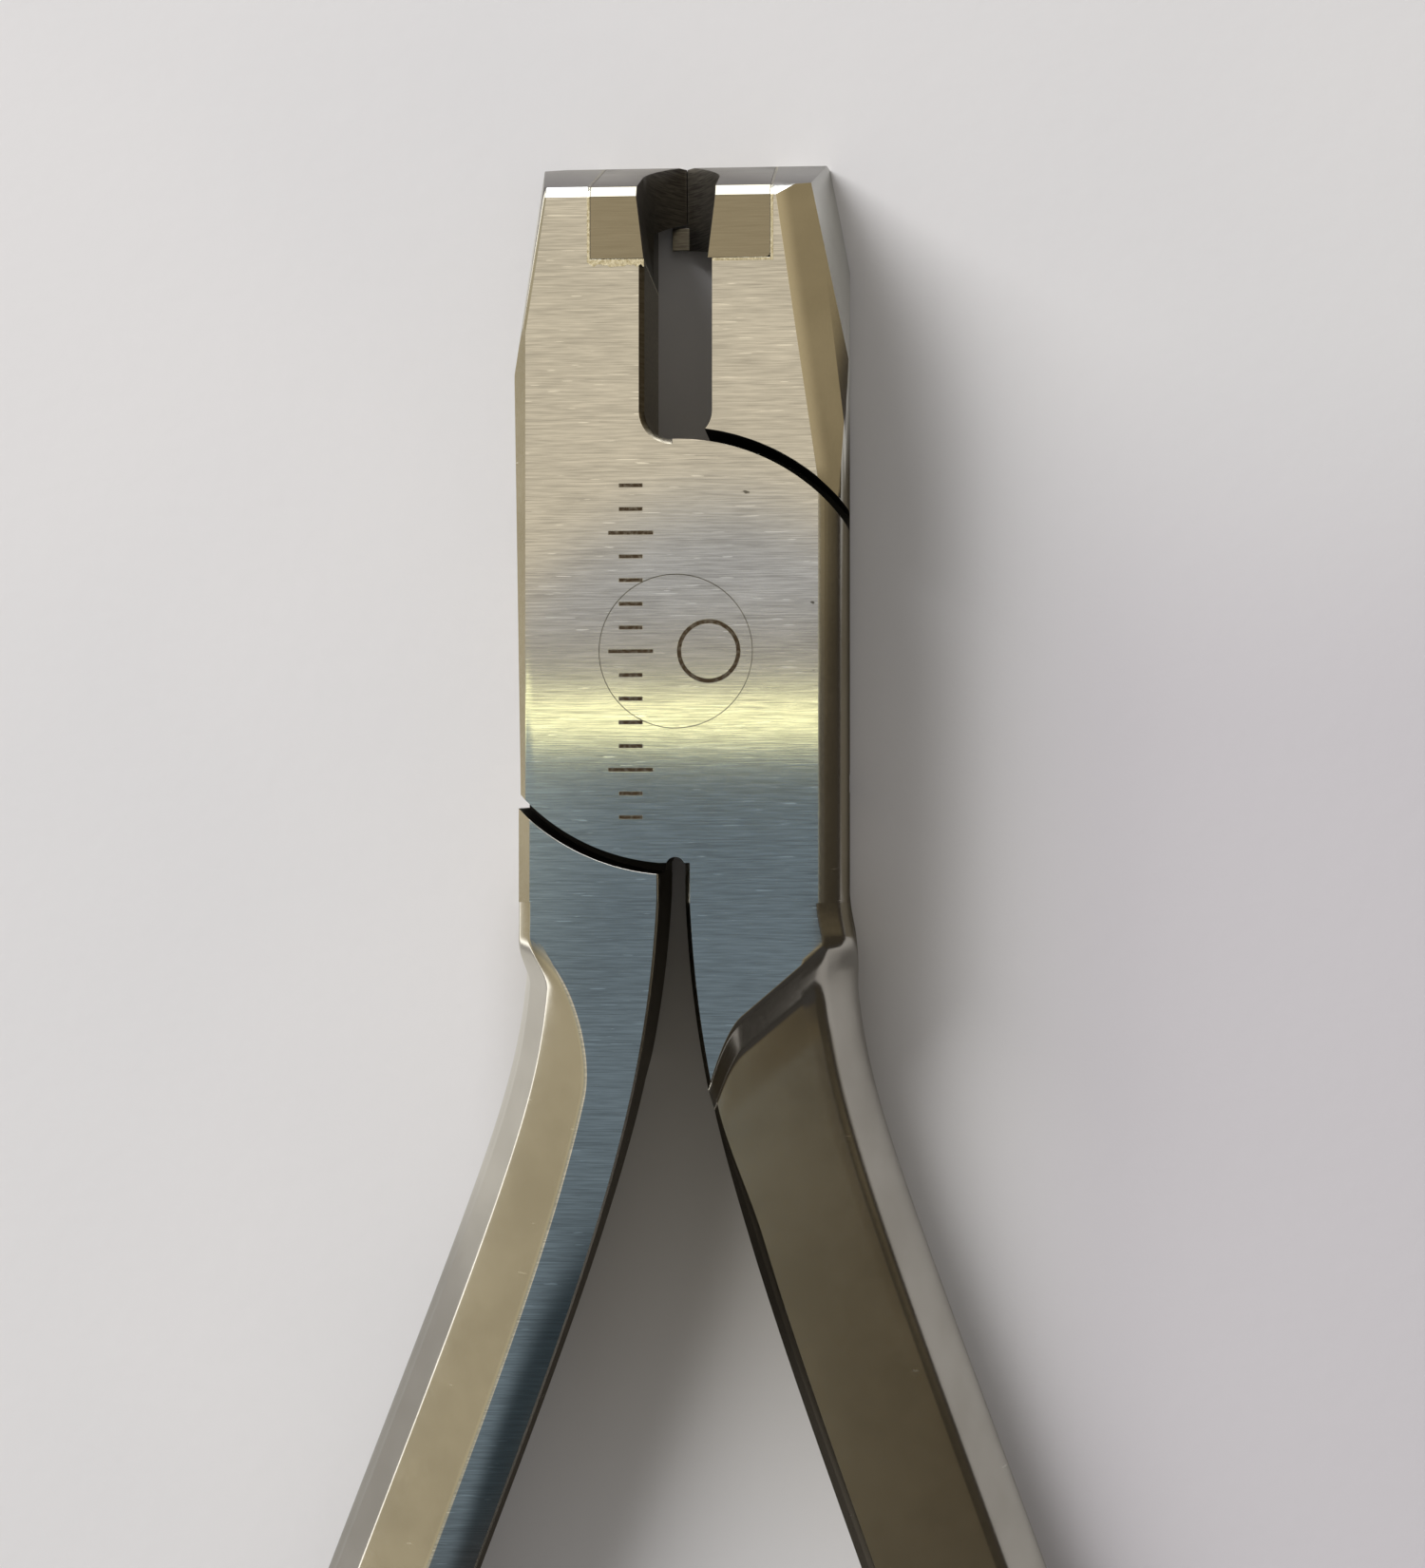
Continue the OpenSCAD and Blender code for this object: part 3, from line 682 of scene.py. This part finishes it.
# ---------------------------------------------------------------- materials
class Shader:
    """A short way to write the nodes of a material or of the world."""

    def __init__(self, owner):
        self.owner = owner
        owner.use_nodes = True
        self.tree = owner.node_tree
        self.tree.nodes.clear()
        world = isinstance(owner, bpy.types.World)
        self.surface = self.node("ShaderNodeBackground" if world else "ShaderNodeBsdfPrincipled")
        output = self.node("ShaderNodeOutputWorld" if world else "ShaderNodeOutputMaterial")
        self.tree.links.new(self.surface.outputs[0], output.inputs[0])
        places = self.node("ShaderNodeTexCoord").outputs
        self.position, self.direction = places["Object"], places["Generated"]

    def node(self, kind, **settings):
        made = self.tree.nodes.new(kind)
        for key, value in settings.items():
            setattr(made, key, value)
        return made

    def put(self, socket, value):
        if isinstance(value, bpy.types.NodeSocket):
            self.tree.links.new(value, socket)
        else:
            socket.default_value = value

    def math(self, operation, a, b=0.0, c=0.0, clamp=False):
        made = self.node("ShaderNodeMath", operation=operation, use_clamp=clamp)
        for socket, value in zip(made.inputs, (a, b, c)):
            self.put(socket, value)
        return made.outputs[0]

    def stretched(self, sx, sy, sz, offset=0.0):
        """Object position in millimetres, scaled per axis."""
        made = self.node("ShaderNodeMapping")
        made.inputs["Scale"].default_value = (sx / MM, sy / MM, sz / MM)
        made.inputs["Location"].default_value = (offset, offset * 0.7, offset * 1.3)
        self.put(made.inputs["Vector"], self.position)
        return made.outputs[0]

    def noise(self, vector, detail=2.0, roughness=0.5, scale=1.0):
        made = self.node("ShaderNodeTexNoise")
        made.inputs["Scale"].default_value = scale
        made.inputs["Detail"].default_value = detail
        made.inputs["Roughness"].default_value = roughness
        self.put(made.inputs["Vector"], vector)
        return made.outputs["Fac"]

    def span(self, value, low, high, to_low=0.0, to_high=1.0):
        made = self.node("ShaderNodeMapRange", clamp=True)
        for socket, v in zip(made.inputs, (value, low, high, to_low, to_high)):
            self.put(socket, v)
        return made.outputs[0]

    def blend(self, share, a, b):
        made = self.node("ShaderNodeMix", data_type="RGBA")
        self.put(made.inputs[0], share)
        self.put(made.inputs[6], a)
        self.put(made.inputs[7], b)
        return made.outputs[2]

    def bump(self, height, strength, distance_mm, normal=None):
        made = self.node("ShaderNodeBump")
        made.inputs["Strength"].default_value = strength
        made.inputs["Distance"].default_value = distance_mm * MM
        self.put(made.inputs["Height"], height)
        if normal is not None:
            self.put(made.inputs["Normal"], normal)
        return made.outputs[0]

    def rise(self, value, low, high):
        """0 up to low and 1 from high on, or the other way round if low is the greater."""
        made = self.node("ShaderNodeMapRange", clamp=True, interpolation_type="SMOOTHSTEP")
        span = (low, high, 0.0, 1.0) if low < high else (high, low, 1.0, 0.0)
        for socket, v in zip(made.inputs, (value,) + span):
            self.put(socket, v)
        return made.outputs[0]

    def times(self, *values):
        total = values[0]
        for value in values[1:]:
            total = self.math("MULTIPLY", total, value)
        return total

    def split(self, vector):
        made = self.node("ShaderNodeSeparateXYZ")
        self.put(made.inputs[0], vector)
        return made.outputs[0], made.outputs[1], made.outputs[2]

    def finish(self, **values):
        for key, value in values.items():
            self.put(self.surface.inputs[key.replace("_", " ")], value)
        return self.owner


# Places of the etched marks: the ruler left of the pivot and its half length, the ring right of it
RULER_X, RULER_HALF = 1.9, 7.3
RING_X, RING_R = 1.4, 1.25


def marks(s):
    """Etched on the front face: a ruler of 1 mm ticks beside the pivot and a plain ring on the other side.
    Returns 1 on the marks."""
    x, y, z = s.split(s.position)
    x, y, z = (s.math("DIVIDE", v, MM) for v in (x, y, z))
    # Distance to the nearest whole and to the nearest fifth millimetre, both as a share of their spacing
    to_tick = s.math("ABSOLUTE", s.math("SUBTRACT", s.math("FRACT", s.math("ADD", y, 20.5)), 0.5))
    fifths = s.math("FRACT", s.math("ADD", s.math("DIVIDE", y, 5), 4.5))
    to_long = s.math("ABSOLUTE", s.math("SUBTRACT", fifths, 0.5))
    reach = s.math("MULTIPLY_ADD", s.rise(to_long, 0.08, 0.06), 0.45, 0.5)
    off_centre = s.math("ABSOLUTE", s.math("ADD", x, RULER_X))
    ticks = s.times(s.rise(to_tick, 0.10, 0.06), s.rise(s.math("SUBTRACT", off_centre, reach), 0.03, -0.03),
                    s.rise(s.math("ABSOLUTE", y), RULER_HALF + 0.05, RULER_HALF))
    dx = s.math("SUBTRACT", x, RING_X)
    radius = s.math("SQRT", s.math("ADD", s.times(dx, dx), s.times(y, y)))
    ring = s.rise(s.math("ABSOLUTE", s.math("SUBTRACT", radius, RING_R)), 0.11, 0.07)
    return s.times(s.math("MAXIMUM", ticks, ring), s.rise(z, HEAD_T - 0.06, HEAD_T - 0.03))


def ground_lines(s, offset=0.0):
    """Fine lines along X, dense along Y: (slow, fine) pattern."""
    fine = s.noise(s.stretched(0.42, 26, 0.42, offset), 2, 0.7)
    hair = s.noise(s.stretched(0.7, 12, 0.7, offset + 8.3), 2, 0.6)
    coarse = s.noise(s.stretched(0.16, 7, 0.16, offset + 3.1), 3, 0.6)
    both = s.math("MULTIPLY_ADD", fine, 0.45, s.math("MULTIPLY", hair, 0.35))
    return coarse, s.math("MULTIPLY_ADD", coarse, 0.2, both)


def brushed_steel(name):
    """Flats ground in one pass across the head: fine lines along X, dense along Y, a few deeper scratches,
    small dark pits and the etched marks."""
    s = Shader(bpy.data.materials.new(name))
    coarse, lines = ground_lines(s)
    cloud = s.noise(s.stretched(0.18, 0.3, 0.2, 5.0), 2, 0.5)
    tone = s.math("ADD", s.span(lines, 0.39, 0.61), s.span(cloud, 0.3, 0.7, -0.12, 0.12), clamp=True)
    color = s.blend(tone, (0.46, 0.45, 0.43, 1), (0.74, 0.725, 0.695, 1))
    scratch = s.rise(s.noise(s.stretched(0.8, 12, 0.8, 7.7), 1, 0.3), 0.725, 0.765)
    color = s.blend(scratch, color, (0.92, 0.91, 0.88, 1))
    pit = s.rise(s.noise(s.stretched(1.1, 1.5, 1.1, 2.2), 2, 0.5), 0.775, 0.80)
    color = s.blend(pit, color, (0.16, 0.15, 0.13, 1))
    etched = s.times(marks(s), s.span(s.noise(s.stretched(5, 5, 5), 2), 0.3, 0.55, 0.72, 1.0))
    color = s.blend(etched, color, (0.11, 0.082, 0.06, 1))
    rough = s.math("ADD", s.span(lines, 0.3, 0.7, 0.085, 0.055), s.times(etched, 0.35))
    height = s.math("SUBTRACT", lines, s.times(etched, 0.8))
    return s.finish(Base_Color=color, Metallic=1.0, Roughness=rough, Normal=s.bump(height, 0.10, 0.004))


def insert_face(name):
    """Fine-ground hard metal, darker and browner than the steel."""
    s = Shader(bpy.data.materials.new(name))
    coarse, lines = ground_lines(s, 11.0)
    color = s.blend(s.span(lines, 0.34, 0.66), (0.275, 0.245, 0.185, 1), (0.345, 0.312, 0.245, 1))
    return s.finish(Base_Color=color, Metallic=1.0, Roughness=s.span(coarse, 0.3, 0.7, 0.10, 0.15),
                    Normal=s.bump(lines, 0.06, 0.004))


def shaded_insert_hollow(name):
    """The hollow sides of the inserts: dark as painted shade in the groove, with arcs left by the grinding
    wheel.
    """
    s = Shader(bpy.data.materials.new(name))
    arcs = s.noise(s.stretched(1.2, 16, 1.2, 4.0), 2, 0.6)
    color = s.blend(s.span(arcs, 0.35, 0.65), (0.09, 0.082, 0.072, 1), (0.20, 0.185, 0.16, 1))
    return s.finish(Base_Color=color, Metallic=0.85, Roughness=s.span(arcs, 0.3, 0.7, 0.34, 0.44),
                    Normal=s.bump(arcs, 0.12, 0.006))


def braze_metal(name):
    """Silver solder, lumpy and bright."""
    s = Shader(bpy.data.materials.new(name))
    lumps = s.noise(s.stretched(7, 7, 7, 2.0), 3, 0.6)
    color = s.blend(s.span(lumps, 0.35, 0.65), (0.62, 0.56, 0.40, 1), (0.96, 0.93, 0.80, 1))
    return s.finish(Base_Color=color, Metallic=1.0, Roughness=s.span(lumps, 0.3, 0.7, 0.30, 0.18),
                    Normal=s.bump(lumps, 0.5, 0.02))


def bevel_highlight(s):
    """Mask of a painted highlight: 1 on the right jaw's bevel where it leaves the front face, falling to 0 a
    little further out.
    """
    x, y, z = (s.math("DIVIDE", v, MM) for v in s.split(s.position))
    line = s.math("MULTIPLY_ADD", y, -math.tan(math.radians(BEVEL_TURN)), RIGHT_W - BEVEL_IN)
    out = s.math("SUBTRACT", x, line)
    return s.times(s.rise(out, 0.65, 0.0), s.rise(out, -0.1, -0.02), s.rise(y, 7, 8),
                   s.rise(z, HEAD_T - 1, HEAD_T - 0.9))


def satin_steel(name):
    """Belt-polished sides and grips, slightly cloudy, with a few light scratches."""
    s = Shader(bpy.data.materials.new(name))
    cloud = s.noise(s.stretched(0.25, 0.25, 0.25), 3, 0.55)
    grain = s.noise(s.stretched(9, 5, 9, 1.7), 2, 0.6)
    color = s.blend(s.rise(cloud, 0.3, 0.7), (0.52, 0.50, 0.455, 1), (0.60, 0.58, 0.535, 1))
    scratch = s.rise(s.noise(s.stretched(1.1, 5.5, 1.1, 9.2), 1, 0.3), 0.79, 0.82)
    color = s.blend(s.times(scratch, 0.35), color, (0.9, 0.88, 0.82, 1))
    # Painted highlight on the right jaw's bevel beside the front face
    color = s.blend(bevel_highlight(s), color, (0.93, 0.91, 0.86, 1))
    rough = s.math("ADD", s.span(grain, 0.3, 0.7, 0.16, 0.21), s.times(scratch, 0.1))
    return s.finish(Base_Color=color, Metallic=1.0, Roughness=rough, Normal=s.bump(grain, 0.05, 0.01))


def gap_shade(name):
    """The faces between the two halves, near black: painted shade in the narrow gap."""
    s = Shader(bpy.data.materials.new(name))
    return s.finish(Base_Color=(0.022, 0.020, 0.017, 1), Metallic=0.6, Roughness=0.45)


def shaded_window_steel(name):
    """The unpolished walls of the window between the jaws, with file marks across them; their dark colour is
    painted shade.
    """
    s = Shader(bpy.data.materials.new(name))
    filed = s.noise(s.stretched(1.5, 9, 1.5, 6.0), 2, 0.6)
    color = s.blend(s.span(filed, 0.35, 0.65), (0.24, 0.21, 0.16, 1), (0.36, 0.32, 0.25, 1))
    return s.finish(Base_Color=color, Metallic=1.0, Roughness=0.34, Normal=s.bump(filed, 0.15, 0.01))


def dress(obj, body, slot, *materials):
    """Gives a piece its materials and its body; slot is not used. Painting its faces comes after this."""
    obj.data.materials.clear()
    for m in materials:
        obj.data.materials.append(m)
    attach(obj, body)


def paint_small(obj):
    """Hollow and inner faces of an insert get its second material. Other small pieces have only one."""
    for face in obj.data.polygons:
        n = face.normal
        front = n.z > 0.99 and face.center.z > HEAD_T * MM / 2
        nose = n.y > 0.4 and abs(n.x) < 0.2
        face.material_index = 0 if front or nose or len(obj.data.materials) == 1 else 1
        face.use_smooth = True
    edit(obj, mark_sharp)


# ---------------------------------------------------------------- the pliers
HALF_LOOKS = (brushed_steel("brushed_steel"), satin_steel("satin_steel"), gap_shade("gap_shade_steel"),
              shaded_window_steel("shaded_window_steel"))
INSERT_LOOKS = (insert_face("insert_face"), shaded_insert_hollow("shaded_insert_hollow"))
SEAM_LOOKS = (braze_metal("braze_metal"),)

shank_hole = (SHANK_R + SCREW_CLEAR, -1, HEAD_T + 1)
head_hole = (SCREW_R + SCREW_CLEAR, HEAD_T - SCREW_HEAD_T, HEAD_T + 1)
thread_hole = (THREAD_R, -1, HALF_T + 2)
random.seed(SEED)
for node, body, slot, looks, painted, made in (
        ("front_half", "front", "satin_steel", HALF_LOOKS, paint,
         half("front_half_forging", LEFT_JAW, FRONT_GRIP, False, [shank_hole, head_hole])),
        ("rear_half", "rear", "satin_steel", HALF_LOOKS, paint,
         half("rear_half_forging", RIGHT_JAW, REAR_GRIP, True, [thread_hole])),
        ("left_insert", "front", "insert_metal", INSERT_LOOKS, paint_small,
         insert("left_hard_insert", LEFT_JAW, LEFT_UNDERCUT, False)),
        ("right_insert", "rear", "insert_metal", INSERT_LOOKS, paint_small,
         insert("right_hard_insert", RIGHT_JAW, RIGHT_UNDERCUT, True)),
        ("left_braze", "front", "braze", SEAM_LOOKS, paint_small,
         seam("left_braze_seam", LEFT_JAW, False, RAGGED)),
        ("right_braze", "rear", "braze", SEAM_LOOKS, paint_small,
         seam("right_braze_seam", RIGHT_JAW, True, 0.0)),
        ("joint_screw", "rear", "screw_steel", HALF_LOOKS[:1], paint_small, screw("flush_screw"))):
    dress(made, body, slot, *looks)
    painted(made)
    even_normals(made)
    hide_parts(node)


# ---------------------------------------------------------------- floor, light and camera
# The sheet of paper: half its side and its depth below the rear faces, in millimetres
SHEET_HALF, SHEET_Z = 900, -0.02
# Its tones as the camera sees them: two that drift into each other, then painted shade beside and between
# the grips
PAPER_DIM = (0.755, 0.745, 0.755, 1)
PAPER_LIT = (0.79, 0.775, 0.78, 1)
PAPER_SHADED = (0.66, 0.635, 0.665, 1)
PAPER_CROTCH_SHADE = (0.52, 0.50, 0.47, 1)
# Painted reflections of the sheet: its tones as the metal mirrors them, from the nose down; the dark ones
# stand in for shade
MIRRORED_NOSE = (0.29, 0.28, 0.29, 1)
MIRRORED_HEAD = (0.80, 0.80, 0.79, 1)
MIRRORED_JOINT = (0.17, 0.15, 0.115, 1)
MIRRORED_GRIPS = (0.50, 0.485, 0.475, 1)
MIRRORED_WEST = (0.53, 0.515, 0.50, 1)
MIRRORED_WEST_LOW = (0.86, 0.84, 0.80, 1)
MIRRORED_BETWEEN = (0.14, 0.125, 0.105, 1)


def paper_floor():
    """A pale sheet of paper with painted shade beside and between the grips. The metal mirrors the sheet
    beside it in other tones than it has from above, as painted reflections. Places on the sheet are in
    metres."""
    corners = [(x * SHEET_HALF, y * SHEET_HALF, SHEET_Z) for x, y in ((-1, -1), (1, -1), (1, 1), (-1, 1))]
    floor = new_object("floor", corners, [[0, 1, 2, 3]])
    s = Shader(bpy.data.materials.new("paper"))
    fibre = s.noise(s.stretched(0.8, 0.8, 0.8), 4, 0.65)
    cloud = s.noise(s.stretched(0.03, 0.03, 0.03), 2, 0.5)
    x, y, _ = s.split(s.position)
    from_pivot = s.math("SQRT", s.math("ADD", s.times(x, x), s.times(y, y)))

    tone = s.blend(s.rise(cloud, 0.3, 0.7), PAPER_DIM, PAPER_LIT)
    # Painted shade on the sheet to the right of the head and grips
    shaded = s.times(s.rise(x, 0.011, 0.020), s.rise(y, 0.016, -0.004), s.rise(from_pivot, 0.16, 0.05))
    tone = s.blend(shaded, tone, PAPER_SHADED)
    # Painted shade between the grips, near the joint
    crotch_shade = s.times(s.rise(x, -0.010, -0.004), s.rise(x, 0.012, 0.005), s.rise(y, -0.008, -0.014),
                     s.rise(y, -0.046, -0.022))
    tone = s.blend(crotch_shade, tone, PAPER_CROTCH_SHADE)

    # Painted reflections: tones that only the metal sees on the sheet, dark where they stand in for its shade
    mirrored = s.blend(s.rise(y, 0.008, 0.013), MIRRORED_JOINT, MIRRORED_HEAD)
    mirrored = s.blend(s.rise(y, -0.011, -0.015), mirrored, MIRRORED_GRIPS)
    west = s.blend(s.rise(y, -0.028, -0.021), MIRRORED_WEST, MIRRORED_WEST_LOW)
    mirrored = s.blend(s.rise(x, 0.006, -0.004), mirrored, west)
    mirrored = s.blend(s.rise(y, 0.020, 0.024), mirrored, MIRRORED_NOSE)
    slant = s.math("MULTIPLY_ADD", y, -0.35, x)
    # Painted shade in what the metal mirrors between the grips
    between = s.times(s.rise(slant, -0.003, 0.0), s.rise(x, 0.009, 0.006), s.rise(y, -0.007, -0.010))
    mirrored = s.blend(between, mirrored, MIRRORED_BETWEEN)

    from_metal = s.node("ShaderNodeLightPath").outputs["Is Glossy Ray"]
    floor.data.materials.append(s.finish(
        Base_Color=s.blend(from_metal, tone, mirrored), Roughness=0.9, Specular_IOR_Level=0.1,
        Normal=s.bump(fibre, 0.12, 0.12)))


# What the metal mirrors, as linear light
CEILING = (0.84, 0.75, 0.58, 1)
GREY = (0.46, 0.43, 0.39, 1)
GREY_HIGH = (0.55, 0.55, 0.545, 1)
STRIP = (2.5, 2.45, 1.35, 1)
SHADE = (0.182, 0.236, 0.275, 1)
SHADE_PALE = (0.36, 0.44, 0.45, 1)
OLIVE_DARK = (0.122, 0.096, 0.056, 1)
OLIVE_LIT = (0.27, 0.23, 0.15, 1)
DARK = (0.07, 0.068, 0.062, 1)
DARK_WARM = (0.048, 0.039, 0.026, 1)
OLIVE = (0.42, 0.34, 0.20, 1)
OLIVE_PALE = (0.66, 0.58, 0.39, 1)
OLIVE_DIM = (0.54, 0.47, 0.32, 1)
OLIVE_GREY = (0.50, 0.47, 0.36, 1)
SHADE_DEEP = (0.035, 0.05, 0.06, 1)
SOUTH = (0.055, 0.052, 0.05, 1)
EAST_LOW = (0.045, 0.037, 0.029, 1)
SOUTH_LOW = (0.045, 0.042, 0.038, 1)
WEST_LOW = (2.4, 2.35, 2.2, 1)
NORTH_LOW = (4.6, 4.8, 5.0, 1)
AMBIENT = (0.335, 0.325, 0.31, 1)


def studio_world():
    """Even light for the floor. What the metal mirrors is a room: a bright far side, a warm left side, a dark
    right side, and straight overhead a pale ceiling, one lit strip and a blue-grey shade. Overhead, a and b
    are the slopes of a direction along X and Y."""
    w = Shader(bpy.data.worlds.new("studio"))
    x, y, z = w.split(w.direction)
    a = w.math("DIVIDE", x, w.math("MAXIMUM", z, 0.05))
    b = w.math("DIVIDE", y, w.math("MAXIMUM", z, 0.05))

    # Straight overhead
    sky = w.blend(w.times(w.rise(a, -0.10, -0.17), w.rise(b, -0.14, 0.0)), SHADE, SHADE_PALE)
    grey = w.blend(w.rise(b, 0.052, 0.080), GREY, GREY_HIGH)
    sky = w.blend(w.rise(b, 0.0325, 0.0365), sky, grey)
    sky = w.blend(w.times(w.rise(b, 0.0185, 0.022), w.rise(b, 0.0370, 0.0330)), sky, STRIP)
    aside = w.math("ADD", a, 0.06)
    arch = w.math("ADD", b, w.math("MULTIPLY", w.times(aside, aside), 6))
    sky = w.blend(w.rise(arch, 0.100, 0.138), sky, CEILING)
    south = w.blend(w.rise(a, 0.03, 0.10), OLIVE_LIT, OLIVE_DARK)
    sky = w.blend(w.times(w.rise(b, -0.15, -0.24), w.rise(a, -0.14, -0.08)), sky, SHADE_DEEP)
    side = w.blend(w.rise(b, 0.07, 0.12), w.blend(w.rise(b, -0.08, -0.06), south, DARK), OLIVE)
    a_low = w.math("MULTIPLY_ADD", w.rise(b, -0.07, -0.12), 0.022, a)
    sky = w.blend(w.rise(a_low, -0.005, 0.03), sky, side)
    sky = w.blend(w.rise(b, -0.33, -0.42), sky, SOUTH)

    # All round
    level = w.math("SQRT", w.math("ADD", w.math("MULTIPLY", x, x), w.math("MULTIPLY", y, y)))
    level = w.math("MAXIMUM", level, 0.001)
    east, north = w.math("DIVIDE", x, level), w.math("DIVIDE", y, level)
    low = w.rise(z, 0.45, 0.12)
    round_ = w.blend(low, DARK_WARM, EAST_LOW)
    round_ = w.blend(w.rise(north, 0.05, 0.42), round_, w.blend(low, OLIVE, EAST_LOW))
    west = w.blend(w.rise(z, 0.60, 0.71), OLIVE_DIM, w.blend(w.rise(z, 0.77, 0.84), OLIVE_PALE, OLIVE_GREY))
    round_ = w.blend(w.rise(east, 0.1, -0.6), round_, w.blend(w.rise(z, 0.27, 0.10), west, WEST_LOW))
    round_ = w.blend(w.rise(north, -0.5, -0.95), round_, w.blend(low, SOUTH, SOUTH_LOW))
    round_ = w.blend(w.rise(north, 0.80, 0.94), round_, w.blend(w.rise(z, 0.60, 0.42), CEILING, NORTH_LOW))
    room = w.blend(w.rise(level, 0.30, 0.45), sky, round_)

    path = w.node("ShaderNodeLightPath").outputs["Is Glossy Ray"]
    w.put(w.surface.inputs["Color"], w.blend(path, AMBIENT, room))
    bpy.context.scene.world = w.owner


def window_light():
    """One big soft lamp from the upper left, which the metal doesn't mirror."""
    light = bpy.data.lights.new("window", "AREA")
    light.shape, light.size, light.size_y = "RECTANGLE", 0.67, 0.67
    light.energy = 12.6
    lamp = bpy.data.objects.new("window", light)
    lamp.location = (-0.67, 0.58, 0.59)
    lamp.rotation_euler = (-lamp.location).to_track_quat("-Z", "Y").to_euler()
    lamp.visible_glossy = False
    bpy.context.scene.collection.objects.link(lamp)


# The camera looks almost straight down from a hand's width above the front face, and sees FIELD_H of it
EYE = Vector((7.9, -5.6, HEAD_T + 100)) * MM
AIM = Vector((1.56, -5.6, HEAD_T)) * MM
FIELD_H = 66.0 * MM


def camera_above():
    camera = bpy.data.cameras.new("camera")
    camera.sensor_width = 36
    camera.lens = camera.sensor_width * (EYE - AIM).length / FIELD_H
    camera.clip_start, camera.clip_end = 0.01, 10
    eye = bpy.data.objects.new("camera", camera)
    view_axis = (AIM - EYE).normalized()
    right_axis = view_axis.cross(Vector((0, 1, 0))).normalized()
    up_axis = right_axis.cross(view_axis)
    facing = Matrix((right_axis, up_axis, -view_axis)).transposed().to_4x4()
    eye.matrix_world = Matrix.Translation(EYE) @ facing
    bpy.context.scene.collection.objects.link(eye)
    bpy.context.scene.camera = eye


paper_floor()
studio_world()
window_light()
camera_above()
bpy.context.scene.view_settings.view_transform = "Standard"
